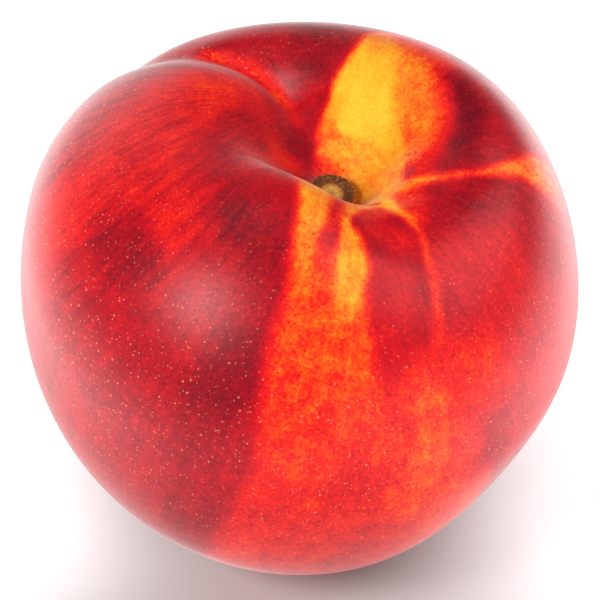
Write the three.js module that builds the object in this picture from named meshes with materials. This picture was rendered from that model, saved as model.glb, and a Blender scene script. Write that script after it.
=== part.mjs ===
// A nectarine: one fruit with its stem cavity, its suture and the soft creases round the cavity,
// and the short woody stub of the stem that is left in the floor of the cavity.
// Millimetres, +Z up. The fruit leans a little and rests on a small flat spot, in the plane z = 0.

import * as THREE from "three";
import { mergeVertices } from "three/addons/utils/BufferGeometryUtils.js";

const { degToRad, clamp, smoothstep } = THREE.MathUtils;

// ---- Driving dimensions, in the upright fruit's own frame: stem on top, blossom tip at z = 0 ----

const EQUATOR_RADIUS = 35.0;
const EQUATOR_HEIGHT = 36.6;
const CREST_RADIUS = 14.5; // the crest is the top ring, where the shoulder turns into the cavity
const CREST_HEIGHT = 59.1;
const FLOOR_RADIUS = 3.3; // the flat floor of the stem cavity
const FLOOR_HEIGHT = 51.1;
const TIP_RADIUS = 2.0; // the blossom end's small flat tip

// The cavity sits a little off the fruit's axis. Down the shoulder, from this share of the
// meridian to the equator, the shift fades away.
const CAVITY_X = 1.3;
const CAVITY_Y = 0.9;
const CAVITY_SHIFT_FADE = 0.19;

// How the four sizes above swell and shrink round the fruit: [amount, lobes, azimuth of a peak].
const EQUATOR_SWELLS = [[0.8, 1, 27], [1.0, 2, -53]];
const EQUATOR_TILT = [[2.0, 1, 82]];
const CREST_RISES = [[2.7, 1, -40], [2.0, 2, 40]];
const CREST_SPREAD = [[4.0, 1, 45]];

// Fullness of the curves between those rings, as shares of the distance from ring to ring.
const SHOULDER_FULLNESS = { out: 0.5, down: 0.48 };
const FLANK_FULLNESS = { down: 0.59, out: 0.59 };
const WALL_FOOT = { out: 0.22, up: 0.45 }; // the cavity wall as it leaves the floor
const WALL_LIP = 0.6; // the cavity wall as it reaches the crest
const WALL_TURN = { out: -0.12, up: 0.15, lip: 0.22, azimuth: 270 }; // steepest at the front

// Where each ring lies along a meridian, as a share of the way from the cavity's centre to the tip.
const FLOOR_EDGE = 0.035;
const CREST = 0.27;
const EQUATOR = 0.56;
const TIP_EDGE = 0.955;

// The suture: a rounded groove from the cavity over the shoulder and down to the tip.
const SUTURE_AZIMUTH = 106;
const SUTURE_BEND = { degrees: 24, from: 0.25, to: 0.5 }; // how it swings round over the shoulder
const SUTURE_DEPTH = { crest: 6.0, shoulder: 2.0, flank: 0.7 };
const SUTURE_FADES = { crestEnd: 0.43, shoulderStart: 0.357, tipLength: 0.1 };
const SUTURE_REACH = { lobe: 3.3, back: 4.4 }; // how far the slopes run: steeper on the full lobe's side
const SUTURE_ROUNDING = 1.6;

// Soft creases that run out of the cavity: start in plan, heading in degrees, length and section.
const CREASE_FADES = { wallStart: 0.1, wallEnd: 0.2, flankStart: 0.4, flankEnd: 0.55 };
const CREASE_RUN_IN = 2;
const CREASE_FULL_SHARE = 0.45; // the share of its length over which a crease keeps its full depth
const CREASES = [
  { x: 3.3, y: -5.6, heading: 21, length: 22, depth: 0.45, halfWidth: 2.2 },
  { x: 0.0, y: -6.5, heading: 272, length: 14, depth: 0.35, halfWidth: 2.0 },
  { x: 2.2, y: -6.6, heading: 308, length: 15, depth: 0.4, halfWidth: 2.2 },
];

// A cheek that grew flatter than the rest.
const FLAT_CHEEK = { azimuth: -37, height: 26, depth: 1.2, spread: 14 };

// How the fruit rests.
const LEAN = 13;
const LEAN_AZIMUTH = -27;
const REST_SPOT_DEPTH = 0.6;

// The stub of the stem.
const STUB_GAP = 0.3;
const STUB_RADIUS = 2.8;
const STUB_FOOT_RADIUS = 2.4;
const STUB_HEIGHT = 1.7;
const STUB_RIM = 0.7; // width of the raised ring round its hollow end
const STUB_HOLLOW = 0.5;
const STUB_UNEVENNESS = 0.04;
const STUB_SIDES = 36;

// Facets: how many round the fruit, and how many rows on each stretch of the meridian.
const FACETS_ROUND = 72;
const ROWS = [
  { from: 0, to: FLOOR_EDGE, rows: 1 },
  { from: FLOOR_EDGE, to: CREST, rows: 10 },
  { from: CREST, to: EQUATOR, rows: 11 },
  { from: EQUATOR, to: TIP_EDGE, rows: 16 },
  { from: TIP_EDGE, to: 1, rows: 1 },
];

// ---- The fruit's surface: a point for each azimuth and each share t of the way down a meridian ----

// A mean size plus waves round the fruit, each with its own number of lobes.
function around(mean, waves, azimuth) {
  return waves.reduce(
    (size, [amount, lobes, peak]) => size + amount * Math.cos(lobes * (azimuth - degToRad(peak))),
    mean,
  );
}

function bezier(a, b, c, d, s) {
  const u = 1 - s;
  return a * u ** 3 + 3 * b * u * u * s + 3 * c * u * s * s + d * s ** 3;
}

// The smooth meridian: floor, cavity wall, shoulder, flank and tip, each tangent to the next.
function meridian(azimuth, t) {
  const equator = around(EQUATOR_RADIUS, EQUATOR_SWELLS, azimuth);
  const equatorHeight = around(EQUATOR_HEIGHT, EQUATOR_TILT, azimuth);
  const crest = around(CREST_RADIUS, CREST_SPREAD, azimuth);
  const crestHeight = around(CREST_HEIGHT, CREST_RISES, azimuth);

  if (t <= FLOOR_EDGE) {
    return { radius: FLOOR_RADIUS * (t / FLOOR_EDGE), height: FLOOR_HEIGHT };
  }
  if (t <= CREST) {
    const s = (t - FLOOR_EDGE) / (CREST - FLOOR_EDGE);
    const turn = Math.cos(azimuth - degToRad(WALL_TURN.azimuth));
    const width = crest - FLOOR_RADIUS;
    const rise = crestHeight - FLOOR_HEIGHT;
    const footOut = FLOOR_RADIUS + (WALL_FOOT.out + WALL_TURN.out * turn) * width;
    const footUp = FLOOR_HEIGHT + (WALL_FOOT.up + WALL_TURN.up * turn) * rise;
    const lipOut = crest - (WALL_LIP + WALL_TURN.lip * turn) * width;
    return {
      radius: bezier(FLOOR_RADIUS, footOut, lipOut, crest, s),
      height: bezier(FLOOR_HEIGHT, footUp, crestHeight, crestHeight, s),
    };
  }
  if (t <= EQUATOR) {
    const s = (t - CREST) / (EQUATOR - CREST);
    const out = crest + SHOULDER_FULLNESS.out * (equator - crest);
    const down = equatorHeight + SHOULDER_FULLNESS.down * (crestHeight - equatorHeight);
    return {
      radius: bezier(crest, out, equator, equator, s),
      height: bezier(crestHeight, crestHeight, down, equatorHeight, s),
    };
  }
  if (t <= TIP_EDGE) {
    const s = (t - EQUATOR) / (TIP_EDGE - EQUATOR);
    const down = equatorHeight * (1 - FLANK_FULLNESS.down);
    const out = TIP_RADIUS + FLANK_FULLNESS.out * (equator - TIP_RADIUS);
    return {
      radius: bezier(equator, equator, out, TIP_RADIUS, s),
      height: bezier(equatorHeight, down, 0, 0, s),
    };
  }
  return { radius: TIP_RADIUS * (1 - (t - TIP_EDGE) / (1 - TIP_EDGE)), height: 0 };
}

// The suture is deepest on the crest, then shallower over the shoulder and down the flank.
function sutureDepth(azimuth, t, radius) {
  const bend = SUTURE_BEND.degrees * smoothstep(t, SUTURE_BEND.from, SUTURE_BEND.to);
  const turn = azimuth - degToRad(SUTURE_AZIMUTH + bend);
  const aside = radius * Math.sin(turn);
  const rounded = Math.hypot(aside, SUTURE_ROUNDING) - SUTURE_ROUNDING;
  const reach = aside > 0 ? SUTURE_REACH.lobe : SUTURE_REACH.back;
  const section = Math.exp(-rounded / reach) * clamp(3 * Math.cos(turn), 0, 1);
  const pastCrest = smoothstep(t, CREST, SUTURE_FADES.crestEnd);
  const pastShoulder = smoothstep(t, SUTURE_FADES.shoulderStart, EQUATOR);
  const tipStart = TIP_EDGE - SUTURE_FADES.tipLength;
  const depth =
    SUTURE_DEPTH.crest * smoothstep(t, FLOOR_EDGE, CREST) * (1 - pastCrest) +
    SUTURE_DEPTH.shoulder * pastCrest * (1 - pastShoulder) +
    SUTURE_DEPTH.flank * pastShoulder * (1 - smoothstep(t, tipStart, TIP_EDGE));
  return depth * section;
}

// Each crease is a straight, round-bottomed furrow in plan that fades towards its far end.
function creaseDepth(x, y, t) {
  const { wallStart, wallEnd, flankStart, flankEnd } = CREASE_FADES;
  const nearCavity = smoothstep(t, wallStart, wallEnd) * (1 - smoothstep(t, flankStart, flankEnd));
  const furrows = CREASES.map((crease) => {
    const heading = degToRad(crease.heading);
    const dx = x - crease.x;
    const dy = y - crease.y;
    const along = dx * Math.cos(heading) + dy * Math.sin(heading);
    const aside = dy * Math.cos(heading) - dx * Math.sin(heading);
    const fadeStart = CREASE_FULL_SHARE * crease.length;
    const start = smoothstep(along, -CREASE_RUN_IN, CREASE_RUN_IN);
    const ends = start * (1 - smoothstep(along, fadeStart, crease.length));
    return crease.depth * Math.exp(-((aside / crease.halfWidth) ** 2)) * ends;
  });
  return nearCavity * furrows.reduce((sum, furrow) => sum + furrow, 0);
}

function cheekDepth(azimuth, radius, height, t) {
  if (t < CREST) {
    return 0;
  }
  const turn = azimuth - degToRad(FLAT_CHEEK.azimuth);
  const aside = Math.atan2(Math.sin(turn), Math.cos(turn)) * radius;
  const above = height - FLAT_CHEEK.height;
  return FLAT_CHEEK.depth * Math.exp(-(aside ** 2 + above ** 2) / FLAT_CHEEK.spread ** 2);
}

// A point of the finished skin: the meridian, pressed in along its own normal by every hollow.
function skinPoint(azimuth, t) {
  const here = meridian(azimuth, t);
  const step = 1e-4;
  const before = meridian(azimuth, Math.max(t - step, 0));
  const after = meridian(azimuth, Math.min(t + step, 1));
  const along = new THREE.Vector2(after.radius - before.radius, after.height - before.height).normalize();

  const plainX = here.radius * Math.cos(azimuth);
  const plainY = here.radius * Math.sin(azimuth);
  const depth =
    sutureDepth(azimuth, t, here.radius) +
    creaseDepth(plainX, plainY, t) +
    cheekDepth(azimuth, here.radius, here.height, t);
  const radius = here.radius + along.y * depth;
  const height = here.height - along.x * depth;

  const offAxis = 1 - smoothstep(t, CAVITY_SHIFT_FADE, EQUATOR);
  return new THREE.Vector3(
    CAVITY_X * offAxis + radius * Math.cos(azimuth),
    CAVITY_Y * offAxis + radius * Math.sin(azimuth),
    height,
  );
}

// ---- How the upright fruit is turned and set down ----

const leanAzimuth = degToRad(LEAN_AZIMUTH);
const leanAxis = new THREE.Vector3(-Math.sin(leanAzimuth), Math.cos(leanAzimuth), 0);
const leanTurn = new THREE.Quaternion().setFromAxisAngle(leanAxis, degToRad(LEAN));

// A sphere's grid gives the facets. Each row and column moves to its own point of the skin.
function fruitGeometry() {
  const shares = ROWS.flatMap(({ from, to, rows }) =>
    Array.from({ length: rows }, (_, row) => from + ((to - from) * row) / rows),
  );
  shares.push(1);

  const geometry = new THREE.SphereGeometry(1, FACETS_ROUND, shares.length - 1);
  const points = geometry.attributes.position;
  shares.forEach((t, row) => {
    for (let column = 0; column <= FACETS_ROUND; column += 1) {
      const azimuth = (2 * Math.PI * (column % FACETS_ROUND)) / FACETS_ROUND;
      const point = skinPoint(azimuth, t).applyQuaternion(leanTurn);
      points.setXYZ(row * (FACETS_ROUND + 1) + column, point.x, point.y, point.z);
    }
  });

  geometry.computeBoundingBox();
  const restHeight = geometry.boundingBox.min.z + REST_SPOT_DEPTH;
  for (let index = 0; index < points.count; index += 1) {
    points.setZ(index, Math.max(points.getZ(index), restHeight));
  }
  geometry.deleteAttribute("normal");
  geometry.deleteAttribute("uv");
  return mergeVertices(geometry);
}

// The stub: a lathed plug with a raised, slightly uneven ring round its hollow end.
function stubGeometry() {
  const inner = STUB_RADIUS - STUB_RIM;
  const profile = [
    [0, 0],
    [STUB_FOOT_RADIUS, 0],
    [STUB_RADIUS - 0.1, 0.45 * STUB_HEIGHT],
    [STUB_RADIUS, 0.8 * STUB_HEIGHT],
    [STUB_RADIUS - 0.2, STUB_HEIGHT],
    [inner + 0.1, STUB_HEIGHT],
    [inner - 0.2, STUB_HEIGHT - 0.6 * STUB_HOLLOW],
    [0.5 * inner, STUB_HEIGHT - STUB_HOLLOW],
    [0, STUB_HEIGHT - STUB_HOLLOW],
  ].map(([radius, height]) => new THREE.Vector2(radius, height));

  const geometry = new THREE.LatheGeometry(profile, STUB_SIDES);
  geometry.rotateX(Math.PI / 2);
  geometry.deleteAttribute("normal");
  geometry.deleteAttribute("uv");
  const plug = mergeVertices(geometry);
  const points = plug.attributes.position;
  for (let index = 0; index < points.count; index += 1) {
    const azimuth = Math.atan2(points.getY(index), points.getX(index));
    const uneven = 1 + STUB_UNEVENNESS * (Math.sin(3 * azimuth) - Math.abs(Math.sin(2.5 * azimuth)));
    points.setXY(index, points.getX(index) * uneven, points.getY(index) * uneven);
  }
  return plug;
}

// ---- The scene graph ----

const skin = new THREE.MeshStandardMaterial({ color: "#c4202a", roughness: 0.38, metalness: 0 });
const wood = new THREE.MeshStandardMaterial({ color: "#5a3d1c", roughness: 0.85, metalness: 0 });

const fruit = new THREE.Mesh(fruitGeometry(), skin);
fruit.name = "fruit";

const stub = new THREE.Mesh(stubGeometry(), wood);
stub.name = "stem_stub";
stub.quaternion.copy(leanTurn);
stub.position.set(CAVITY_X, CAVITY_Y, FLOOR_HEIGHT + STUB_GAP).applyQuaternion(leanTurn);

// The origin is on the resting plane, under the middle of the fruit.
fruit.geometry.computeBoundingBox();
const { min, max } = fruit.geometry.boundingBox;
const nectarine = new THREE.Group();
nectarine.position.set(-(min.x + max.x) / 2, -(min.y + max.y) / 2, -min.z);
nectarine.add(fruit, stub);

export default nectarine;
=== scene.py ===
from math import cos, pi, radians, sin

import bpy
import numpy as np
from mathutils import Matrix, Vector


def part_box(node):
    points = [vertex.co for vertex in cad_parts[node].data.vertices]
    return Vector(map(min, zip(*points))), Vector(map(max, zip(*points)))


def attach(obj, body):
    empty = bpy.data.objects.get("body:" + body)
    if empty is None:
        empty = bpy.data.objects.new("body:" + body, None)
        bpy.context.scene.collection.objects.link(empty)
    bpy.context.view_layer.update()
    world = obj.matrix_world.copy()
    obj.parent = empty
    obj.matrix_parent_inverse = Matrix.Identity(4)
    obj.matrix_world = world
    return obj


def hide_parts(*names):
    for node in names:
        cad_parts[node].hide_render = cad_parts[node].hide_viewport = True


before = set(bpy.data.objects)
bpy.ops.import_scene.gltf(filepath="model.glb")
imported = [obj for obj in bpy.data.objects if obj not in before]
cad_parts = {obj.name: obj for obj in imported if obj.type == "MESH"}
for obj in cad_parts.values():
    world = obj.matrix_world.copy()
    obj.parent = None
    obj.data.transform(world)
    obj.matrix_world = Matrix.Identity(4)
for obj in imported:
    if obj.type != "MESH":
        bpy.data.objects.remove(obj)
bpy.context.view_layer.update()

MM = 0.001

# ---- The upright fruit: stem on top, blossom tip at height 0 ----

EQUATOR_RADIUS = 35.0 * MM
EQUATOR_HEIGHT = 36.6 * MM
CREST_RADIUS = 14.5 * MM
CREST_HEIGHT = 59.1 * MM
FLOOR_RADIUS = 3.3 * MM
FLOOR_HEIGHT = 51.1 * MM
TIP_RADIUS = 2.0 * MM
CAVITY_X = 1.3 * MM
CAVITY_Y = 0.9 * MM

# Waves round the fruit: (amount, lobes, azimuth of a peak in degrees).
EQUATOR_SWELLS = ((0.8 * MM, 1, 27), (1.0 * MM, 2, -53))
EQUATOR_TILT = ((2.0 * MM, 1, 82),)
CREST_RISES = ((2.7 * MM, 1, -40), (2.0 * MM, 2, 40))
CREST_SPREAD = ((4.0 * MM, 1, 45),)

SHOULDER_OUT, SHOULDER_DOWN = 0.5, 0.48
FLANK_OUT, FLANK_DOWN = 0.59, 0.59
WALL_OUT, WALL_UP, WALL_LIP = 0.22, 0.45, 0.6
WALL_TURN_OUT, WALL_TURN_UP, WALL_TURN_LIP, WALL_TURN_AZIMUTH = -0.12, 0.15, 0.22, 270

# Shares of the way along a meridian, from the middle of the cavity to the tip.
FLOOR_EDGE, CREST, EQUATOR, TIP_EDGE = 0.035, 0.27, 0.56, 0.955

# The cavity's shift off the axis fades out from this share to the equator.
CAVITY_SHIFT_FADE = 0.19

# The suture swings round by SUTURE_BEND degrees between the two shares of SUTURE_BEND_RUN.
SUTURE_AZIMUTH, SUTURE_BEND, SUTURE_BEND_RUN = 106, 24, (0.25, 0.5)
SUTURE_CREST, SUTURE_SHOULDER, SUTURE_FLANK = 6.0 * MM, 2.0 * MM, 0.7 * MM
SUTURE_CREST_END, SUTURE_SHOULDER_START, SUTURE_TIP_FADE = 0.43, 0.357, 0.1
SUTURE_REACH_LOBE, SUTURE_REACH_BACK, SUTURE_ROUNDING = 3.3 * MM, 4.4 * MM, 1.6 * MM
SUTURE_SIDE_FADE = 3

# Creases: start x and y, heading in degrees, length, depth, half width.
CREASES = (
    (3.3 * MM, -5.6 * MM, 21, 22 * MM, 0.45 * MM, 2.2 * MM),
    (0.0 * MM, -6.5 * MM, 272, 14 * MM, 0.35 * MM, 2.0 * MM),
    (2.2 * MM, -6.6 * MM, 308, 15 * MM, 0.40 * MM, 2.2 * MM),
)
CREASE_RUN_IN, CREASE_FULL_SHARE = 2 * MM, 0.45
CREASE_WALL_FADE, CREASE_FLANK_FADE = (0.1, 0.2), (0.4, 0.55)

CHEEK_AZIMUTH, CHEEK_HEIGHT, CHEEK_DEPTH, CHEEK_SPREAD = -37, 26 * MM, 1.2 * MM, 14 * MM

LEAN, LEAN_AZIMUTH = 13, -27
REST_SPOT_DEPTH = 0.6 * MM

STUB_GAP = 0.3 * MM
STUB_RADIUS = 2.8 * MM
STUB_FOOT_RADIUS = 2.4 * MM
STUB_HEIGHT = 1.7 * MM
STUB_RIM = 0.7 * MM
STUB_HOLLOW = 0.5 * MM
STUB_KNOB_HEIGHT = 0.11 * MM
# The rim's place along the stub's profile, and how far its knobs reach to each side.
STUB_RIM_SHARE, STUB_RIM_REACH = 0.5, 0.16
STUB_ROWS, STUB_COLUMNS = 64, 120

COLUMNS = 400
# Rows of points along each part of a meridian: from, to, how many.
ROWS = (
    (0, FLOOR_EDGE, 4),
    (FLOOR_EDGE, CREST, 60),
    (CREST, EQUATOR, 78),
    (EQUATOR, TIP_EDGE, 84),
    (TIP_EDGE, 1, 6),
)


# ---- The skin's surface ----

def smooth(x, low, high):
    """0 below low, 1 above high, and an S-shaped cubic between them."""
    q = np.clip((x - low) / (high - low), 0, 1)
    return q * q * (3 - 2 * q)


def bezier(a, b, c, d, s):
    """The cubic Bezier curve through a and d with handles b and c."""
    u = 1 - s
    return a * u**3 + 3 * b * u * u * s + 3 * c * u * s * s + d * s**3


def around(mean, waves, azimuth):
    """A mean size plus cosine waves round the fruit."""
    return mean + sum(amount * np.cos(lobes * (azimuth - radians(peak))) for amount, lobes, peak in waves)


def meridian(azimuth, t):
    """Radius and height along a meridian: a flat floor, then Bezier curves for the cavity wall, the
    shoulder and the flank, each tangent to the next, then the flat tip."""
    equator = around(EQUATOR_RADIUS, EQUATOR_SWELLS, azimuth)
    level = around(EQUATOR_HEIGHT, EQUATOR_TILT, azimuth)
    crest = around(CREST_RADIUS, CREST_SPREAD, azimuth)
    top = around(CREST_HEIGHT, CREST_RISES, azimuth)
    turn = np.cos(azimuth - radians(WALL_TURN_AZIMUTH))
    width, rise = crest - FLOOR_RADIUS, top - FLOOR_HEIGHT

    floor = np.clip(t / FLOOR_EDGE, 0, 1)
    wall = np.clip((t - FLOOR_EDGE) / (CREST - FLOOR_EDGE), 0, 1)
    shoulder = np.clip((t - CREST) / (EQUATOR - CREST), 0, 1)
    flank = np.clip((t - EQUATOR) / (TIP_EDGE - EQUATOR), 0, 1)
    tip = np.clip((t - TIP_EDGE) / (1 - TIP_EDGE), 0, 1)

    foot_out = FLOOR_RADIUS + (WALL_OUT + WALL_TURN_OUT * turn) * width
    foot_up = FLOOR_HEIGHT + (WALL_UP + WALL_TURN_UP * turn) * rise
    lip_out = crest - (WALL_LIP + WALL_TURN_LIP * turn) * width
    part = np.searchsorted((FLOOR_EDGE, CREST, EQUATOR, TIP_EDGE), t) + 0 * azimuth.astype(int)
    radius = np.choose(part, (
        FLOOR_RADIUS * floor + 0 * azimuth,
        bezier(FLOOR_RADIUS, foot_out, lip_out, crest, wall),
        bezier(crest, crest + SHOULDER_OUT * (equator - crest), equator, equator, shoulder),
        bezier(equator, equator, TIP_RADIUS + FLANK_OUT * (equator - TIP_RADIUS), TIP_RADIUS, flank),
        TIP_RADIUS * (1 - tip) + 0 * azimuth,
    ))
    height = np.choose(part, (
        FLOOR_HEIGHT + 0 * (azimuth + t),
        bezier(FLOOR_HEIGHT, foot_up, top, top, wall),
        bezier(top, top, level + SHOULDER_DOWN * (top - level), level, shoulder),
        bezier(level, level * (1 - FLANK_DOWN), 0, 0, flank),
        0 * (azimuth + t),
    ))
    return radius, height


def suture_depth(azimuth, t, radius):
    """A groove with a rounded bottom whose depth falls off exponentially to each side, and faster on
    the side of the full lobe. It fades out a quarter turn away, and the far half has none."""
    turn = azimuth - np.radians(SUTURE_AZIMUTH + SUTURE_BEND * smooth(t, *SUTURE_BEND_RUN))
    aside = radius * np.sin(turn)
    rounded = np.hypot(aside, SUTURE_ROUNDING) - SUTURE_ROUNDING
    reach = np.where(aside > 0, SUTURE_REACH_LOBE, SUTURE_REACH_BACK)
    section = np.exp(-rounded / reach) * np.clip(SUTURE_SIDE_FADE * np.cos(turn), 0, 1)
    past_crest = smooth(t, CREST, SUTURE_CREST_END)
    past_shoulder = smooth(t, SUTURE_SHOULDER_START, EQUATOR)
    return section * (
        SUTURE_CREST * smooth(t, FLOOR_EDGE, CREST) * (1 - past_crest)
        + SUTURE_SHOULDER * past_crest * (1 - past_shoulder)
        + SUTURE_FLANK * past_shoulder * (1 - smooth(t, TIP_EDGE - SUTURE_TIP_FADE, TIP_EDGE))
    )


def crease_depth(x, y, t):
    """Furrows that are straight in plan, Gaussian in section and fade along their length."""
    depth = 0
    for start_x, start_y, heading, length, deep, half_width in CREASES:
        cos_h, sin_h = cos(radians(heading)), sin(radians(heading))
        along = (x - start_x) * cos_h + (y - start_y) * sin_h
        aside = (y - start_y) * cos_h - (x - start_x) * sin_h
        start = smooth(along, -CREASE_RUN_IN, CREASE_RUN_IN)
        ends = start * (1 - smooth(along, CREASE_FULL_SHARE * length, length))
        depth = depth + deep * np.exp(-((aside / half_width) ** 2)) * ends
    return depth * smooth(t, *CREASE_WALL_FADE) * (1 - smooth(t, *CREASE_FLANK_FADE))


def cheek_depth(azimuth, radius, height, t):
    """A round patch, Gaussian in section, that grew flatter."""
    turn = azimuth - radians(CHEEK_AZIMUTH)
    aside = np.arctan2(np.sin(turn), np.cos(turn)) * radius
    hollow = CHEEK_DEPTH * np.exp(-(aside**2 + (height - CHEEK_HEIGHT) ** 2) / CHEEK_SPREAD**2)
    return np.where(t < CREST, 0, hollow)


def upright_skin(azimuth, t):
    """The meridian pressed in along its own normal by the suture, the creases and the flat cheek,
    with the cavity moved a little off the axis."""
    radius, height = meridian(azimuth, t)
    step = 1e-4
    radius_2, height_2 = meridian(azimuth, np.minimum(t + step, 1))
    radius_1, height_1 = meridian(azimuth, np.maximum(t - step, 0))
    length = np.hypot(radius_2 - radius_1, height_2 - height_1)
    run, drop = (radius_2 - radius_1) / length, (height_2 - height_1) / length
    depth = (
        suture_depth(azimuth, t, radius)
        + crease_depth(radius * np.cos(azimuth), radius * np.sin(azimuth), t)
        + cheek_depth(azimuth, radius, height, t)
    )
    radius = radius + drop * depth
    height = height - run * depth
    off_axis = 1 - smooth(t, CAVITY_SHIFT_FADE, EQUATOR)
    x = CAVITY_X * off_axis + radius * np.cos(azimuth)
    y = CAVITY_Y * off_axis + radius * np.sin(azimuth)
    return np.stack((x, y, height), axis=-1)


def lean_matrix():
    """A turn by LEAN degrees that tips the fruit's top towards LEAN_AZIMUTH (Rodrigues' formula)."""
    angle, azimuth = radians(LEAN), radians(LEAN_AZIMUTH)
    axis = np.array((-sin(azimuth), cos(azimuth), 0.0))
    cross = np.array(((0, -axis[2], axis[1]), (axis[2], 0, -axis[0]), (-axis[1], axis[0], 0)))
    return np.eye(3) + sin(angle) * cross + (1 - cos(angle)) * cross @ cross


def share_rows():
    """The rows' shares of the way along a meridian, closer together where the skin bends more."""
    parts = [np.linspace(start, end, count, endpoint=False) for start, end, count in ROWS]
    return np.concatenate(parts + [np.array((1.0,))])


# Every point of the skin has an azimuth and a share. The upright fruit is leaned, cut flat where it
# rests, and set down where its CAD solid stands.
row_shares = share_rows()
column_azimuths = np.linspace(0, 2 * pi, COLUMNS, endpoint=False)
grid_t, grid_azimuth = np.meshgrid(row_shares, column_azimuths, indexing="ij")
upright_grid = upright_skin(grid_azimuth, grid_t)
leaned_grid = upright_grid @ lean_matrix().T
rest_height = leaned_grid[..., 2].min() + REST_SPOT_DEPTH
leaned_grid[..., 2] = np.maximum(leaned_grid[..., 2], rest_height)
cad_low, cad_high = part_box("fruit")
grid_low, grid_high = leaned_grid.min(axis=(0, 1)), leaned_grid.max(axis=(0, 1))
set_down = np.array((
    (cad_low.x + cad_high.x - grid_low[0] - grid_high[0]) / 2,
    (cad_low.y + cad_high.y - grid_low[1] - grid_high[1]) / 2,
    cad_low.z - rest_height,
))


def place(upright_points):
    """From the upright fruit's frame to the row's frame."""
    return upright_points @ lean_matrix().T + set_down


# ---- Meshes ----

def grid_mesh(name, points, attributes):
    """A closed surface from rows of points that run from pole to pole. The first and last rows are
    single points, so each becomes one vertex with a fan of triangles. Attributes are named arrays
    with one number or one vector for each point."""
    rows, columns = points.shape[:2]
    ring = points[1:-1].reshape(-1, 3)
    vertices = np.concatenate((points[0, :1], ring, points[-1, :1]))
    index = 1 + np.arange((rows - 2) * columns).reshape(rows - 2, columns)
    beside = np.roll(index, -1, axis=1)
    quads = np.stack((index[:-1], index[1:], beside[1:], beside[:-1]), axis=-1).reshape(-1, 4)
    last = len(vertices) - 1
    top = np.stack((np.zeros(columns, int), index[0], beside[0]), axis=-1)
    bottom = np.stack((np.full(columns, last), beside[-1], index[-1]), axis=-1)

    mesh = bpy.data.meshes.new(name)
    mesh.from_pydata(vertices.tolist(), [], quads.tolist() + top.tolist() + bottom.tolist())
    mesh.polygons.foreach_set("use_smooth", np.ones(len(mesh.polygons), bool))
    for key, values in attributes.items():
        rings = values[1:-1].reshape((-1,) + values.shape[2:])
        flat = np.concatenate((values[0, :1], rings, values[-1, :1]))
        if flat.ndim == 1:
            mesh.attributes.new(key, "FLOAT", "POINT").data.foreach_set("value", flat.astype(np.float32))
        else:
            layer = mesh.attributes.new(key, "FLOAT_VECTOR", "POINT")
            layer.data.foreach_set("vector", flat.astype(np.float32).ravel())
    mesh.update()
    piece = bpy.data.objects.new(name, mesh)
    bpy.context.scene.collection.objects.link(piece)
    return piece


# ---- The blush: how much red lies over the yellow ground, from 0 (yellow) to 1 (maroon) ----

STEPS_PER_SPOT = 12


def brush(field, value, path, half_width, edge):
    """Lays one stroke of blush on the skin. The path is (azimuth in degrees, share) points; value and
    half width are single numbers or one for each point. The stroke covers what lies nearer to the
    path, in a straight line, than the half width, and fades over edge."""
    spots = np.array(path, float)
    steps = np.linspace(0, len(path) - 1, STEPS_PER_SPOT * len(path))
    knots = np.arange(len(path))
    azimuth = np.radians(np.interp(steps, knots, spots[:, 0]))
    share = np.interp(steps, knots, spots[:, 1])
    values = np.interp(steps, knots, np.broadcast_to(value, len(path)))
    widths = np.interp(steps, knots, np.broadcast_to(half_width, len(path))) * MM
    nearest = np.full(field.shape, np.inf)
    laid = np.zeros(field.shape)
    for point, width, level in zip(upright_skin(azimuth, share), widths, values):
        distance = np.linalg.norm(upright_grid - point, axis=-1) - width
        closer = distance < nearest
        nearest = np.where(closer, distance, nearest)
        laid = np.where(closer, level, laid)
    cover = 1 - smooth(nearest, -0.5 * edge * MM, 0.5 * edge * MM)
    return field + (laid - field) * cover


# What the skin has where no stroke is laid.
CRIMSON = 0.79

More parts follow.
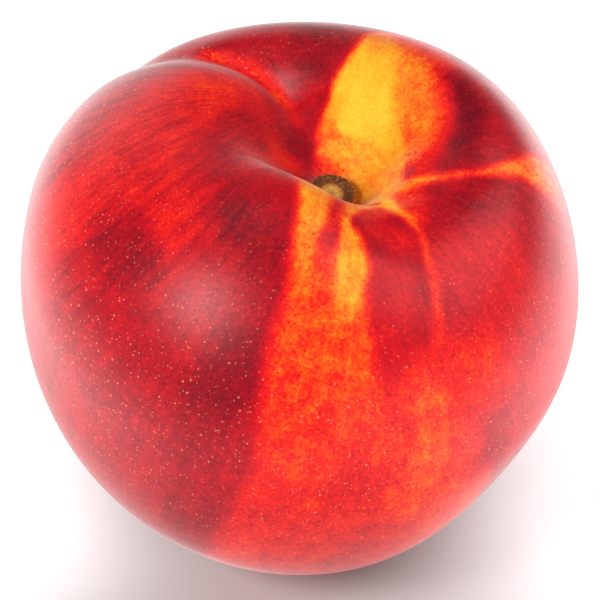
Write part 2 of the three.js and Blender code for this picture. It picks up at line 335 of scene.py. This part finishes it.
# Each stroke: its value, its path, its half width in mm and the width of its soft edge in mm.
STROKES = (
    # cheeks and flanks
    (0.72, [(322, .42), (335, .46), (330, .50)], 8, 8),
    (0.82, [(246, .52), (247, .58), (252, .62)], (3, 4, 3), 6),
    (0.59, [(296, .40), (303, .41), (312, .425)], (2, 4, 4), 7),
    (0.55, [(300, .53), (305, .58), (308, .64)], (4, 6, 6), 6),
    (0.66, [(132, .34), (150, .35), (168, .37), (196, .385), (215, .36)], (4, 6, 7, 6, 4), 6),
    (0.63, [(182, .47), (198, .48)], 5, 5),
    (0.80, [(205, .50), (225, .55)], 7, 8),
    (0.78, [(232, .37), (240, .41), (246, .45)], (4, 4.5, 4), 6),
    # the full lobe on the left
    (0.62, [(124, .315), (140, .32), (158, .32)], (2.6, 3.2, 2), 3),
    (0.71, [(150, .25), (172, .25), (205, .265)], 1.2, 4),
    (
        (0.66, 0.70, 0.75, 0.70),
        [(124, .30), (127, .26), (133, .205), (142, .155)],
        (1.2, 1.5, 1.6, 1.4), 2.8,
    ),
    ((0.72, 0.84, 0.86), [(190, .415), (202, .42), (211, .42)], (1.6, 4.2, 3.6), 4.0),
    (0.86, [(222, .325), (235, .33), (247, .345)], (2.2, 3.2, 2.0), 4),
    (0.86, [(248, .42), (247, .47)], (3.2, 3.4), 5),
    # the orange band down the front
    (
        (0.50, 0.50, 0.55, 0.62, 0.62, 0.62, 0.60, 0.64),
        [
            (268, .34), (269, .40), (273.5, .46), (278, .52), (279, .57), (279, .62), (278, .70),
            (278, .80),
        ],
        (5.2, 6.5, 8.2, 10.6, 12.2, 12.5, 11, 8), 3.2,
    ),
    (0.58, [(292, .41), (298, .44), (302, .49)], (2.5, 3.5, 4.5), 4.5),
    ((0.50, 0.48, 0.50), [(295, .43), (295, .48), (293, .55)], (2.0, 2.8, 2.6), 6),
    (0.64, [(281, .50), (282, .54)], (1.5, 2), 4),
    (0.68, [(286, .60), (288, .66)], (2.5, 3), 5),
    # lobes below the arch
    (0.72, [(290, .32), (290, .36), (289, .39)], (3.2, 3.0, 1.8), 3.4),
    (0.64, [(284, .21), (296, .20), (306, .20)], (1.2, 2.0, 1.2), 1.6),
    (0.66, [(292, .25), (300, .27)], (1.6, 1.8), 3),
    (0.70, [(318, .32), (330, .34)], (4, 5), 5),
    (0.60, [(334, .185), (325, .21), (320, .24)], (2.4, 2.2, 1.2), 2.2),
    (0.82, [(338, .27), (346, .28)], (1.6, 2.0), 3.5),
    # the cavity's floor and wall
    (0.36, [(0, .001), (0, .002)], 3.4, 1.0),
    (0.28, [(-110, .045), (-60, .045), (0, .045), (60, .045)], 1.4, 1.2),
    # Partly painted shade: this ring turns redder at azimuth 75 to 98, where the wall beside the stub
    # lies in shade; its paler values elsewhere are the skin's own colour.
    (
        (0.30, 0.28, 0.26, 0.26, 0.29, 0.40, 0.54),
        [(-125, .05), (-90, .06), (-40, .065), (0, .07), (40, .07), (75, .07), (98, .055)],
        (1.2, 1.4, 2, 2, 2, 1.8, 1.4), 1.6,
    ),
    ((0.22, 0.26, 0.26, 0.24), [(-40, .11), (-12, .12), (14, .11), (34, .10)], 1.7, 1.8),
    # the golden patch, the mottled orange beside it and their red and maroon border
    (
        (0.84, 0.92, 0.95, 0.93, 0.84),
        [(5, .23), (14, .245), (24, .265), (38, .29), (49, .31)],
        (1.6, 2.8, 3.2, 3.0, 2.0), 3.6,
    ),
    (0.80, [(10, .29), (30, .32), (45, .34)], 3, 4),
    (
        0.60,
        [(3, .175), (13, .185), (27, .205), (42, .23), (53, .255), (62, .29)],
        (0.9, 1.1, 1.5, 1.8, 1.9, 2.2), 2.6,
    ),
    (0.60, [(54, .31), (64, .335), (72, .36)], (2, 2.4, 2.4), 3),
    (
        (0.44, 0.38, 0.34, 0.38, 0.46),
        [(18, .155), (38, .185), (55, .22), (64, .27), (69, .315)],
        (1.4, 2.2, 3.0, 2.8, 2.0), 2.8,
    ),
    (
        (0.32, 0.28, 0.20, 0.14),
        [(0, .115), (25, .12), (42, .13), (58, .135)],
        (1.4, 2.0, 2.2, 2.2), 2.4,
    ),
    (
        (0.22, 0.24, 0.26, 0.30),
        [(56, .165), (62, .20), (67, .245), (70, .29)],
        (2.2, 2.4, 2.2, 1.8), 2.8,
    ),
    (
        (0.14, 0.09, 0.06, 0.08, 0.13, 0.20, 0.32),
        [(62, .125), (70, .145), (77, .175), (79, .215), (78, .255), (77, .295), (76.5, .335)],
        (2.4, 3.5, 4.2, 4.1, 3.7, 3.0, 2.2), 2.0,
    ),
    # Partly painted shade: the next stroke turns redder near the stub, and the one after it towards
    # azimuth 97 to 107, where the wall beside the stub lies in shade; their paler values are the skin's
    # own colour.
    ((0.50, 0.34, 0.20), [(95, .12), (93, .15), (88, .20)], (1.3, 1.2, 0.9), 2.2),
    (
        (0.26, 0.27, 0.31, 0.40, 0.54),
        [(48, .095), (70, .10), (84, .10), (97, .095), (107, .08)],
        (1.4, 1.5, 1.5, 1.1, 0.6), 1.5,
    ),
    # deep red between the patch and the suture
    (0.78, [(102, .18), (99, .22), (97, .26)], (1.1, 1.5, 1.6), 1.4),
    (0.86, [(95, .31), (93, .345), (96, .375)], (2.6, 3.4, 2.6), 2.4),
    ((0.84, 0.86, 0.82), [(120, .095), (116, .14), (113, .19)], (1.0, 2.0, 1.6), 2.0),
    (0.66, [(140, .11), (150, .15), (170, .19)], (1.4, 1.6, 1.6), 2.4),
    (
        (0.70, 0.66, 0.62, 0.58, 0.56, 0.60),
        [(108, .19), (107, .24), (108, .28), (111, .33), (116, .37), (122, .41)],
        (0.5, 0.8, 1.0, 1.2, 1.4, 1.2), 1.8,
    ),
    (0.40, [(112, .335), (114, .355)], 0.10, 0.5),
    # two yellow wedges with a red strip between them
    (
        (0.28, 0.28, 0.30, 0.33, 0.38, 0.45),
        [(249, .17), (250, .22), (251, .26), (252.5, .295), (254.5, .325), (257, .355)],
        (4.0, 3.2, 2.5, 1.8, 1.2, 0.8), 2.2,
    ),
    (
        (0.32, 0.29, 0.25, 0.23, 0.27, 0.40),
        [(271.5, .235), (272, .26), (274, .285), (275, .31), (274, .335), (273, .365)],
        (0.3, 0.7, 1.7, 2.1, 1.8, 1.0), 2.0,
    ),
    (
        (0.68, 0.68, 0.66, 0.60, 0.54),
        [(268, .17), (264.5, .21), (262.5, .245), (261, .285), (260, .325)],
        (1.0, 0.8, 0.6, 0.4, 0.2), 1.5,
    ),
    # the arch and the long crease
    (
        (0.30, 0.28, 0.27, 0.28, 0.30, 0.30),
        [(320, .17), (308, .165), (295, .172), (285, .19), (276.5, .217), (271, .26)],
        (0.5, 0.5, 0.5, 0.5, 0.45, 0.3), 1.2,
    ),
    (
        (0.24, 0.18, 0.18, 0.20, 0.28, 0.42, 0.50, 0.52, 0.56),
        [
            (336, .11), (326, .15), (319, .18), (316, .205), (315, .235), (313, .265), (308, .30),
            (304, .34), (301, .38),
        ],
        (1.2, 0.9, 0.9, 0.8, 0.4, 0.3, 0.5, 0.6, 0.6), 1.6,
    ),
    (
        (0.24, 0.30, 0.32, 0.38, 0.42, 0.38, 0.36, 0.42, 0.5),
        [
            (344, .12), (349, .165), (352, .195), (355, .23), (358, .265), (361, .295), (365, .33),
            (367, .36), (368, .40),
        ],
        (1.6, 0.9, 0.6, 0.3, 0.4, 0.9, 1.7, 2.6, 3.2), 1.8,
    ),
)


def blush_field():
    """Plain crimson with every stroke laid over it in turn."""
    field = np.full(grid_t.shape, CRIMSON)
    for value, path, half_width, edge in STROKES:
        field = brush(field, value, path, half_width, edge)
    return field


def fan(azimuth_degrees, share, spread, run):
    """Coordinates for streaks that fan out over the skin from one spot. Two are the direction from
    the spot, as a point of the unit circle in its tangent plane, times spread. The third is the
    distance from the spot, over run, so a longer run makes longer streaks."""
    spot = upright_skin(np.array((radians(azimuth_degrees),)), np.array((share,)))[0]
    beside = upright_skin(np.array((radians(azimuth_degrees + 1),)), np.array((share,)))[0] - spot
    below = upright_skin(np.array((radians(azimuth_degrees),)), np.array((share + 0.01,)))[0] - spot
    east = beside / np.linalg.norm(beside)
    south = below - east * (below @ east)
    south = south / np.linalg.norm(south)
    offset = upright_grid - spot
    angle = np.arctan2(offset @ south, offset @ east)
    distance = np.linalg.norm(offset, axis=-1)
    return np.stack((np.cos(angle) * spread, np.sin(angle) * spread, distance / run), axis=-1)


# ---- Node helpers ----

def srgb(red, green, blue):
    """0-255 display values to the linear values that shaders take, by the sRGB curve."""
    shares = np.array((red, green, blue)) / 255
    linear = np.where(shares > 0.04045, ((shares + 0.055) / 1.055) ** 2.4, shares / 12.92)
    return (*linear.tolist(), 1.0)


class Sheet:
    """A node tree with short calls for the nodes that these materials use. A value given to a call
    is another node's output or a constant, which feed links or sets."""

    def __init__(self, tree):
        self.tree = tree

    def node(self, kind, **settings):
        made = self.tree.nodes.new(kind)
        for key, value in settings.items():
            setattr(made, key, value)
        return made

    def feed(self, source, target):
        if isinstance(source, bpy.types.NodeSocket):
            self.tree.links.new(source, target)
        else:
            target.default_value = source

    def math(self, operation, first, second=0.0):
        made = self.node("ShaderNodeMath", operation=operation)
        self.feed(first, made.inputs[0])
        self.feed(second, made.inputs[1])
        return made.outputs[0]

    def step(self, value, low, high, out_low=0.0, out_high=1.0):
        made = self.node("ShaderNodeMapRange", interpolation_type="SMOOTHSTEP")
        self.feed(value, made.inputs["Value"])
        self.feed(low, made.inputs["From Min"])
        self.feed(high, made.inputs["From Max"])
        self.feed(out_low, made.inputs["To Min"])
        self.feed(out_high, made.inputs["To Max"])
        return made.outputs["Result"]

    def mix(self, factor, first, second):
        made = self.node("ShaderNodeMix", data_type="RGBA")
        self.feed(factor, made.inputs[0])
        self.feed(first, made.inputs[6])
        self.feed(second, made.inputs[7])
        return made.outputs[2]

    def around_middle(self, pattern, amount):
        """A pattern of 0 to 1, moved to lie about 0 and scaled by amount."""
        return self.math("MULTIPLY", self.math("SUBTRACT", pattern, 0.5), amount)

    def noise(self, vector, scale, detail=2.0, rough=0.5, warp=0.0):
        made = self.node("ShaderNodeTexNoise")
        self.feed(vector, made.inputs["Vector"])
        self.feed(scale, made.inputs["Scale"])
        made.inputs["Detail"].default_value = detail
        made.inputs["Roughness"].default_value = rough
        made.inputs["Distortion"].default_value = warp
        return made.outputs["Fac"]

    def cells(self, vector, scale):
        made = self.node("ShaderNodeTexVoronoi", feature="F1")
        self.feed(vector, made.inputs["Vector"])
        self.feed(scale, made.inputs["Scale"])
        return made

    def attribute(self, name, output="Fac"):
        return self.node("ShaderNodeAttribute", attribute_name=name).outputs[output]

    def ramp(self, value, stops):
        made = self.node("ShaderNodeValToRGB")
        elements = made.color_ramp.elements
        while len(elements) < len(stops):
            elements.new(0.5)
        for element, (position, colour) in zip(elements, stops):
            element.position = position
            element.color = colour
        self.feed(value, made.inputs["Fac"])
        return made.outputs["Color"]


def group(name, inputs, outputs):
    """A shader group with float or vector inputs and outputs, and its sheet, group input and output."""
    tree = bpy.data.node_groups.new(name, "ShaderNodeTree")
    for label, kind in inputs:
        tree.interface.new_socket(label, in_out="INPUT", socket_type=kind)
    for label, kind in outputs:
        tree.interface.new_socket(label, in_out="OUTPUT", socket_type=kind)
    sheet = Sheet(tree)
    return sheet, sheet.node("NodeGroupInput").outputs, sheet.node("NodeGroupOutput").inputs


def use(sheet, shared, **values):
    """Places a shader group in a material with its own values."""
    made = sheet.node("ShaderNodeGroup", node_tree=shared.tree)
    for key, value in values.items():
        sheet.feed(value, made.inputs[key])
    return made.outputs


FLOAT, VECTOR = "NodeSocketFloat", "NodeSocketVector"


def dots_group():
    """Round dots scattered one to a cell: 1 in the middle of a dot and 0 outside it. Size is the dot's
    radius as a share of a cell, and share is how many of the cells hold one."""
    sheet, given, out = group(
        "scattered dots",
        [("Vector", VECTOR), ("Scale", FLOAT), ("Size", FLOAT), ("Share", FLOAT)],
        [("Dots", FLOAT)],
    )
    cells = sheet.cells(given["Vector"], given["Scale"])
    tone = sheet.node("ShaderNodeSeparateColor")
    sheet.feed(cells.outputs["Color"], tone.inputs[0])
    size = sheet.math("MULTIPLY", given["Size"], sheet.step(tone.outputs[1], 0.0, 1.0, 0.6, 1.3))
    inside = sheet.step(cells.outputs["Distance"], sheet.math("MULTIPLY", size, 0.45), size, 1.0, 0.0)
    chosen = sheet.math("LESS_THAN", tone.outputs[0], given["Share"])
    sheet.feed(sheet.math("MULTIPLY", inside, chosen), out["Dots"])
    return sheet


def grain_group():
    """Fine, even bumps: two sizes of noise added."""
    sheet, given, out = group("fine grain", [("Vector", VECTOR), ("Scale", FLOAT)], [("Height", FLOAT)])
    broad = sheet.noise(given["Vector"], given["Scale"], 2.0)
    fine = sheet.noise(given["Vector"], sheet.math("MULTIPLY", given["Scale"], 3.1), 1.0)
    broad = sheet.math("MULTIPLY", broad, 0.65)
    fine = sheet.math("MULTIPLY", fine, 0.35)
    sheet.feed(sheet.math("ADD", broad, fine), out["Height"])
    return sheet


# ---- Materials ----

def new_material(name):
    """An empty Principled material, its sheet and its shader."""
    material = bpy.data.materials.new(name)
    material.use_nodes = True
    sheet = Sheet(material.node_tree)
    return material, sheet, material.node_tree.nodes["Principled BSDF"]


BLUSH_COLOURS = (
    (0.00, srgb(255, 212, 58)),
    (0.16, srgb(255, 182, 36)),
    (0.30, srgb(255, 138, 28)),
    (0.44, srgb(250, 82, 14)),
    (0.58, srgb(240, 28, 18)),
    (0.72, srgb(202, 6, 24)),
    (0.86, srgb(144, 2, 22)),
    (1.00, srgb(84, 4, 24)),
)


def skin_material(dots, grain):
    """Waxy skin: the blush broken up by streaks, mottling and stipple, with pale pores."""
    material, sheet, shader = new_material("nectarine skin")
    where = sheet.node("ShaderNodeTexCoord").outputs["Object"]
    blush = sheet.attribute("blush")

    streaks = sheet.noise(sheet.attribute("lobe_fan", "Vector"), 1.0, 4.0, 0.6, 0.5)
    lines = sheet.noise(sheet.attribute("stem_fan", "Vector"), 1.0, 3.0, 0.6)
    mottle = sheet.noise(where, 420.0, 4.0, 0.65)
    blotch = sheet.noise(where, 120.0, 2.0, 0.5)
    speckle = sheet.noise(where, 2100.0, 2.0, 0.6)

    past_yellow = sheet.step(blush, 0.14, 0.34)
    before_crimson = sheet.step(blush, 0.56, 0.74, 1.0, 0.0)
    half_ripe = sheet.math("MULTIPLY", past_yellow, before_crimson)
    level = blush
    for pattern, amount in (
        (streaks, sheet.math("MULTIPLY", sheet.attribute("lobe_streaks"), 0.40)),
        (lines, sheet.math("MULTIPLY", sheet.attribute("stem_streaks"), 0.16)),
        (mottle, sheet.math("ADD", 0.18, sheet.math("MULTIPLY", half_ripe, 0.28))),
        (blotch, sheet.math("ADD", 0.12, sheet.math("MULTIPLY", half_ripe, 0.04))),
        (speckle, sheet.math("ADD", 0.26, sheet.math("MULTIPLY", half_ripe, 0.14))),
    ):
        level = sheet.math("ADD", level, sheet.around_middle(pattern, amount))

    stipple = use(sheet, dots, Vector=where, Scale=1700.0, Size=0.30, Share=0.4)
    red_specks = sheet.math("MULTIPLY", stipple["Dots"], sheet.math("MULTIPLY", half_ripe, 0.13))
    level = sheet.math("ADD", level, red_specks)
    colour = sheet.ramp(level, BLUSH_COLOURS)

    pores = use(sheet, dots, Vector=where, Scale=1200.0, Size=0.17, Share=0.75)
    fine_pores = use(sheet, dots, Vector=where, Scale=2100.0, Size=0.26, Share=0.5)
    spots = sheet.math("MAXIMUM", pores["Dots"], sheet.math("MULTIPLY", fine_pores["Dots"], 0.55))
    pale = sheet.math("MULTIPLY", spots, sheet.math("MULTIPLY", sheet.attribute("pores"), 0.6))
    colour = sheet.mix(pale, colour, srgb(255, 160, 118))
    sheet.feed(colour, shader.inputs["Base Color"])

    height = use(sheet, grain, Vector=where, Scale=2300.0)["Height"]
    sheet.feed(sheet.step(height, 0.2, 0.8, 0.32, 0.42), shader.inputs["Roughness"])
    bump = sheet.node("ShaderNodeBump")
    bump.inputs["Strength"].default_value = 0.12
    bump.inputs["Distance"].default_value = 0.05 * MM
    sheet.feed(height, bump.inputs["Height"])
    sheet.feed(bump.outputs["Normal"], shader.inputs["Normal"])
    shader.inputs["IOR"].default_value = 1.38
    shader.inputs["Specular IOR Level"].default_value = 0.36
    shader.inputs["Sheen Weight"].default_value = 0.4
    shader.inputs["Sheen Roughness"].default_value = 0.3
    return material


def stub_material(dots, grain):
    """Dry wood: a rough dark rim round a paler fibrous middle. The rim's pits are painted near black,
    as painted shade, and pressed in by the bump.
    """
    material, sheet, shader = new_material("dry stem wood")
    where = sheet.node("ShaderNodeTexCoord").outputs["Object"]
    fibres = sheet.noise(sheet.attribute("fibres", "Vector"), 1.0, 3.0, 0.6)
    crumbs = use(sheet, grain, Vector=where, Scale=3200.0)["Height"]
    out = sheet.math("ADD", sheet.attribute("out"), sheet.around_middle(crumbs, 0.25))
    colour = sheet.ramp(out, (
        (0.00, srgb(176, 128, 48)),
        (0.28, srgb(238, 190, 92)),
        (0.46, srgb(206, 138, 52)),
        (0.56, srgb(112, 56, 18)),
        (0.84, srgb(90, 42, 14)),
        (1.00, srgb(150, 80, 26)),
    ))
    colour = sheet.mix(sheet.step(fibres, 0.45, 0.7, 0.0, 0.4), colour, srgb(60, 36, 12))
    pits = use(sheet, dots, Vector=where, Scale=2600.0, Size=0.34, Share=0.6)["Dots"]
    colour = sheet.mix(sheet.step(crumbs, 0.50, 0.62, 0.0, 0.55), colour, srgb(196, 128, 52))
    # Painted shade: near-black dots in the rim's pits, which the bump also presses in.
    pits_with_painted_shade = sheet.math("MULTIPLY", pits, sheet.step(out, 0.48, 0.60, 0.0, 0.9))
    colour = sheet.mix(pits_with_painted_shade, colour, srgb(24, 12, 5))
    sheet.feed(colour, shader.inputs["Base Color"])
    sheet.feed(sheet.step(crumbs, 0.2, 0.8, 0.75, 0.95), shader.inputs["Roughness"])
    bump = sheet.node("ShaderNodeBump")
    bump.inputs["Strength"].default_value = 0.8
    bump.inputs["Distance"].default_value = 0.12 * MM
    sheet.feed(sheet.math("SUBTRACT", crumbs, pits_with_painted_shade), bump.inputs["Height"])
    sheet.feed(bump.outputs["Normal"], shader.inputs["Normal"])
    return material


def glowing_floor_material():
    """The plain pale floor, a light table that glows though it is no lamp. The glow is left out in two
    round spots, one under the fruit and one close in front of it, as painted shadow, and is stronger in
    a strip to the left and right, a painted light that the fruit's sides reflect."""
    material, sheet, shader = new_material("white light table")
    where = sheet.node("ShaderNodeTexCoord").outputs["Object"]
    apart = sheet.node("ShaderNodeSeparateXYZ")
    sheet.feed(where, apart.inputs[0])
    painted_floor_light = 0.7
    # Painted shadow: two round spots where the glow is left out, one under the fruit and one close in
    # front of it.
    for centre, near, far in (((0, 0, 0), 0.014, 0.036), ((0, -0.052, 0), 0.026, 0.054)):
        away = sheet.node("ShaderNodeVectorMath", operation="DISTANCE")
        sheet.feed(where, away.inputs[0])
        away.inputs[1].default_value = centre
        painted_floor_light = sheet.math("MULTIPLY", sheet.step(away.outputs["Value"], near, far), painted_floor_light)
    # Painted light: a strip to the left and right glows 2.4 times more strongly, for the fruit's sides to
    # reflect.
    aside = sheet.math("ABSOLUTE", apart.outputs["X"])
    off_strip = sheet.math("ABSOLUTE", sheet.math("SUBTRACT", apart.outputs["Y"], 0.09))
    beside = sheet.step(aside, 0.045, 0.085)
    beside = sheet.math("MULTIPLY", beside, sheet.step(aside, 0.35, 0.50, 1.0, 0.0))
    beside = sheet.math("MULTIPLY", beside, sheet.step(off_strip, 0.13, 0.22, 1.0, 0.0))
    painted_floor_light = sheet.math("ADD", painted_floor_light, sheet.math("MULTIPLY", beside, 2.4))
    shade = sheet.node("ShaderNodeCombineColor")
    for channel in shade.inputs:
        sheet.feed(painted_floor_light, channel)
    shader.inputs["Base Color"].default_value = (0.6, 0.6, 0.6, 1.0)
    shader.inputs["Roughness"].default_value = 0.9
    sheet.feed(shade.outputs[0], shader.inputs["Emission Color"])
    shader.inputs["Emission Strength"].default_value = 1.0
    return material


# ---- Pieces ----

# Where each effect fades in and out: azimuths in degrees and shares of the way to the tip.
LOBE_STARTS, LOBE_ENDS = (112, 124), (205, 250)
LOBE_TOP, LOBE_FOOT = (0.12, 0.22), (0.42, 0.6)
STEM_TOP, STEM_FOOT, STEM_LEAST = (0.1, 0.3), (0.5, 0.8), 0.25
PORES_TOP, PORES_LEAST = (0.26, 0.5), 0.15
# Streaks fan out from these spots: azimuth in degrees, share, spread and run.
LOBE_FAN = (116, 0.24, 26, 6 * MM)
STEM_FAN = (60, 0.001, 26, 9 * MM)


def between(x, starts, ends):
    """1 between two values, with soft fades over the ranges starts and ends, and 0 outside them."""
    return smooth(x, *starts) * (1 - smooth(x, *ends))


def make_skin(material):
    """The whole skin on its grid of azimuths and shares, with its blush and streaks as attributes.
    The lobe's streaks lie on the full lobe and the stem's on the rest, and both fade at their ends."""
    lobe = between(grid_azimuth, np.radians(LOBE_STARTS), np.radians(LOBE_ENDS))
    lobe = lobe * between(grid_t, LOBE_TOP, LOBE_FOOT)
    stem = (1 - lobe) * (STEM_LEAST + (1 - STEM_LEAST) * between(grid_t, STEM_TOP, STEM_FOOT))
    pores = PORES_LEAST + (1 - PORES_LEAST) * smooth(grid_t, *PORES_TOP)
    points = place(upright_grid)
    points[..., 2] = np.maximum(points[..., 2], cad_low.z)
    piece = grid_mesh("fruit_skin", points, {
        "blush": blush_field(),
        "lobe_fan": fan(*LOBE_FAN),
        "stem_fan": fan(*STEM_FAN),
        "lobe_streaks": lobe,
        "stem_streaks": stem,
        "pores": pores,
    })
    piece.data.materials.append(material)
    return piece


def make_stub(material):
    """A worn plug turned about its axis: radius and height follow a profile from the middle of the
    hollow end, over the raised rim and down to the foot, and sine waves roughen the rim."""
    inner = STUB_RADIUS - STUB_RIM
    profile = np.array((
        (0.0, STUB_HEIGHT - STUB_HOLLOW),
        (0.5 * inner, STUB_HEIGHT - STUB_HOLLOW),
        (inner - 0.2 * MM, STUB_HEIGHT - 0.5 * STUB_HOLLOW),
        (inner + 0.1 * MM, STUB_HEIGHT),
        (STUB_RADIUS - 0.15 * MM, STUB_HEIGHT),
        (STUB_RADIUS, 0.8 * STUB_HEIGHT),
        (STUB_RADIUS - 0.1 * MM, 0.4 * STUB_HEIGHT),
        (STUB_FOOT_RADIUS, 0.0),
        (0.0, 0.0),
    ))
    knots = np.linspace(0, 1, len(profile))
    along = np.linspace(0, 1, STUB_ROWS)
    azimuth, share = np.meshgrid(np.linspace(0, 2 * pi, STUB_COLUMNS, endpoint=False), along)
    radius = np.interp(share, knots, profile[:, 0])
    height = np.interp(share, knots, profile[:, 1])
    rim = np.exp(-(((share - STUB_RIM_SHARE) / STUB_RIM_REACH) ** 2))
    knobs = np.sin(13 * azimuth + 2 * np.sin(3 * azimuth)) * np.sin(40 * share + 3 * np.sin(5 * azimuth))
    height = height + STUB_KNOB_HEIGHT * rim * knobs
    radius = radius * (1 + 0.03 * rim * np.sin(3 * azimuth) + 0.02 * rim * np.sin(7 * azimuth + 1))
    upright = np.stack((
        CAVITY_X + radius * np.cos(azimuth),
        CAVITY_Y + radius * np.sin(azimuth),
        FLOOR_HEIGHT + STUB_GAP + height,
    ), axis=-1)
    fibres = np.stack((9 * np.cos(azimuth), 9 * np.sin(azimuth), radius / (2.5 * MM)), axis=-1)
    piece = grid_mesh("stem_remnant", place(upright), {"out": radius / STUB_RADIUS, "fibres": fibres})
    piece.data.materials.append(material)
    return piece


def make_floor(material):
    """A wide level sheet under the fruit."""
    reach = 3.0
    corners = [(-reach, -reach, 0), (reach, -reach, 0), (reach, reach, 0), (-reach, reach, 0)]
    mesh = bpy.data.meshes.new("floor")
    mesh.from_pydata(corners, [], [(0, 1, 2, 3)])
    floor = bpy.data.objects.new("floor", mesh)
    bpy.context.scene.collection.objects.link(floor)
    mesh.materials.append(material)
    return floor


# ---- Light and camera ----

def towards(azimuth, elevation):
    """The unit vector that points to an azimuth, clockwise from the front, and an elevation."""
    a, e = radians(azimuth), radians(elevation)
    return Vector((-sin(a) * cos(e), -cos(a) * cos(e), sin(e)))


ROOM_LIGHT = 0.10
# Softboxes: name, azimuth and elevation in degrees, width and depth in metres, power in watts.
SOFTBOXES = (
    ("key softbox", 52, 42, 0.28, 0.28, 4.9),
    ("right fill", -90, 46, 0.6, 0.6, 3.4),
    ("front fill", -35, 8, 0.7, 0.3, 1.2),
    ("top fill", 140, 70, 0.4, 0.4, 0.6),
    ("back fill", 155, 8, 0.5, 0.3, 0.9),
)
SOFTBOX_DISTANCE = 0.8
CAMERA_TARGET = Vector((0.16 * MM, 3.2 * MM, 28.7 * MM))
CAMERA_ELEVATION, CAMERA_DISTANCE, CAMERA_LENS = 46, 0.5, 236.6


def softbox(name, azimuth, elevation, width, depth, power):
    """A rectangular light that faces the fruit. Azimuth 0 is the camera's side and 90 is the left."""
    light = bpy.data.lights.new(name, "AREA")
    light.shape = "RECTANGLE"
    light.size, light.size_y = width, depth
    light.energy = power
    lamp = bpy.data.objects.new(name, light)
    bpy.context.scene.collection.objects.link(lamp)
    middle = Vector((0, 0, 0.5 * cad_high.z))
    lamp.location = middle + SOFTBOX_DISTANCE * towards(azimuth, elevation)
    lamp.rotation_euler = towards(azimuth, elevation).to_track_quat("Z", "Y").to_euler()


def light_studio():
    """A dim white room, a compact key light at the front left, a wide fill on the right, and weaker
    fills low at the front right, high at the back left and low at the back left."""
    world = bpy.data.worlds.new("white room")
    world.use_nodes = True
    world.node_tree.nodes["Background"].inputs["Color"].default_value = (1, 1, 1, 1)
    world.node_tree.nodes["Background"].inputs["Strength"].default_value = ROOM_LIGHT
    bpy.context.scene.world = world
    for settings in SOFTBOXES:
        softbox(*settings)


def set_camera():
    """A long lens that looks down on the fruit from the front."""
    camera = bpy.data.objects.new("camera", bpy.data.cameras.new("camera"))
    camera.data.sensor_width = 36
    camera.data.lens = CAMERA_LENS
    camera.data.clip_start = 0.01
    facing = towards(0, CAMERA_ELEVATION)
    camera.location = CAMERA_TARGET + CAMERA_DISTANCE * facing
    camera.rotation_euler = facing.to_track_quat("Z", "Y").to_euler()
    bpy.context.scene.collection.objects.link(camera)
    bpy.context.scene.camera = camera
    bpy.context.scene.view_settings.view_transform = "Standard"


dots, grain = dots_group(), grain_group()
skin = make_skin(skin_material(dots, grain))
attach(skin, "root")
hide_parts("fruit")

stub = make_stub(stub_material(dots, grain))
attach(stub, "root")
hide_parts("stem_stub")

make_floor(glowing_floor_material())
light_studio()
set_camera()
